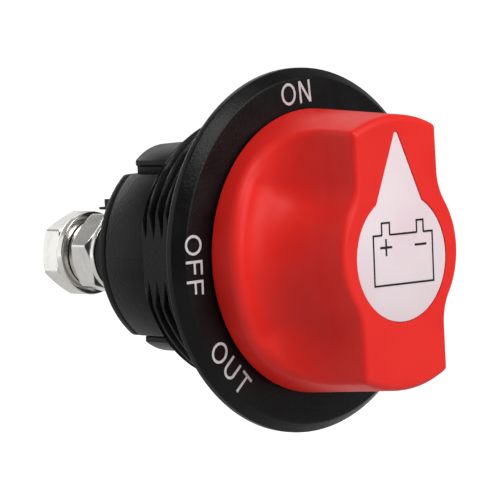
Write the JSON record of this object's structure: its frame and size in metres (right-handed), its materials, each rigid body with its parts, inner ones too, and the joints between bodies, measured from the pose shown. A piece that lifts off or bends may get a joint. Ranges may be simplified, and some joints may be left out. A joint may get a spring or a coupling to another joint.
{
  "type": "battery isolating switch",
  "caption": "Round panel-mounted battery isolating switch: black bezel and threaded barrel, red removable key knob with battery label, two threaded rear terminals.",
  "frame": {"origin": "centre of the bezel's back face on the switch axis, where the panel's front face lies", "axes": "+Y runs along the switch axis into the panel, towards the terminals; +Z points to the ON mark; +X is to the right as seen from the front"},
  "size_m": [0.068, 0.077, 0.068],
  "materials": {
    "black_plastic": "moulded black plastic with a fine matt texture",
    "red_plastic": "smooth satin red moulded plastic",
    "red_core": "moulded red plastic, plain finish",
    "white_label": "white satin plastic insert",
    "label_ink": "black printed line",
    "dial_ink": "light grey printed letters",
    "black_rubber": "matt rubber",
    "grey_nylon": "plain glass-filled nylon",
    "plated_hardware": "bright nickel plate with fine scratches",
    "tinned_studs": "tinned stud metal",
    "zinc_screws": "zinc-plated steel",
    "spring_steel": "plain spring wire",
    "copper_bar": "bare copper",
    "silver_contacts": "dull silver contact metal"
  },
  "bodies": {
    "base": {"front_housing": "black_plastic", "dial_print": "dial_ink", "dust_seal": "black_rubber", "rear_cover": "black_plastic", "cover_screws": "zinc_screws", "stud_left": "tinned_studs", "stud_right": "tinned_studs", "stud_contacts": "silver_contacts", "stud_collars": "plated_hardware", "jam_nuts": "plated_hardware", "spring_washers": "plated_hardware", "flat_washers": "plated_hardware", "terminal_nuts": "plated_hardware", "return_spring": "spring_steel"},
    "cam": {"rotor_cam": "grey_nylon"},
    "key": {"knob": "red_plastic", "knob_label": "white_label", "label_symbol": "label_ink", "key_shaft": "red_core", "key_screw": "zinc_screws"},
    "carrier": {"contact_carrier": "grey_nylon", "contact_bridge": "copper_bar", "bridge_contacts": "silver_contacts", "contact_spring": "spring_steel", "bridge_retainer": "spring_steel"}
  },
  "joints": [
    {"name": "key_turn", "type": "hinge", "parent": "base", "child": "cam", "pos_m": [0, 0, 0], "axis": [0, -1, 0], "range_deg": [0, 135]},
    {"name": "key_pull", "type": "slide", "parent": "cam", "child": "key", "axis": [0, -1, 0], "range_m": [0, 0.02]},
    {"name": "carrier_slide", "type": "slide", "parent": "base", "child": "carrier", "axis": [0, -1, 0], "range_m": [0, 0.002], "deforming": ["return_spring"]}
  ],
  "couplings": [
    {"joint": "carrier_slide", "follows": "key_turn", "m_per_rad": 0.00084883}
  ]
}
